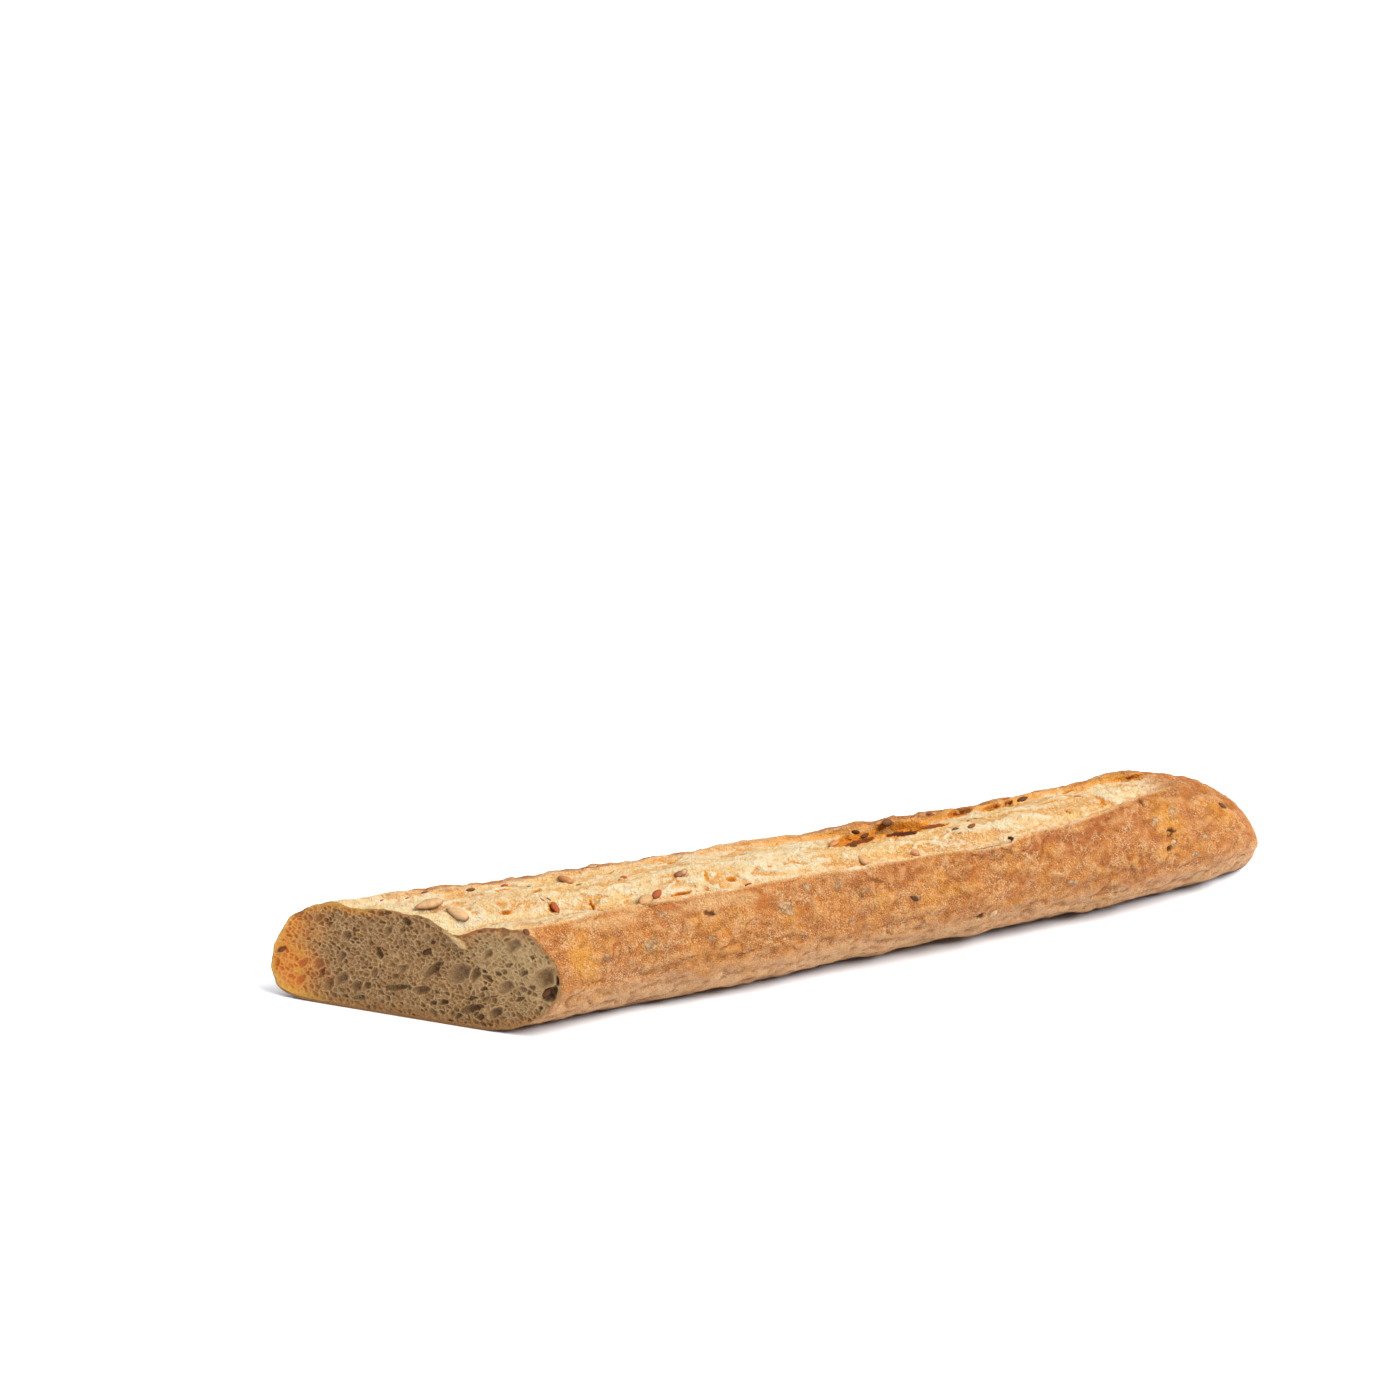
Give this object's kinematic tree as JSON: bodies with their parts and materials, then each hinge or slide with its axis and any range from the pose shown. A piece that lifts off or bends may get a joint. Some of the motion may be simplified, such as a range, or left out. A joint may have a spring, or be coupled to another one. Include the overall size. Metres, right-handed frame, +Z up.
{
  "type": "seeded baguette with a cut end",
  "caption": "Part-cut crusty baguette with seeds in the dough, scored down its length, one end cut on the bias and the other rounded",
  "frame": {"origin": "on the base, under the middle of the loaf's box", "axes": "+X along the loaf from the bias cut to the rounded end, +Y towards the far side with the tip of the cut, +Z up"},
  "size_m": [0.381, 0.0698, 0.045],
  "materials": {
    "crust": "dry baked crust, golden orange with a thin dusting of flour, and a pale golden band where the score opened",
    "crumb": "soft open crumb with thin slightly shiny cell walls",
    "kernel": "hulled sunflower kernel, toasted, satin",
    "seed": "brown flax seed, smooth, slightly glossy"
  },
  "bodies": {
    "root": {"loaf": "crust"}
  },
  "joints": []
}
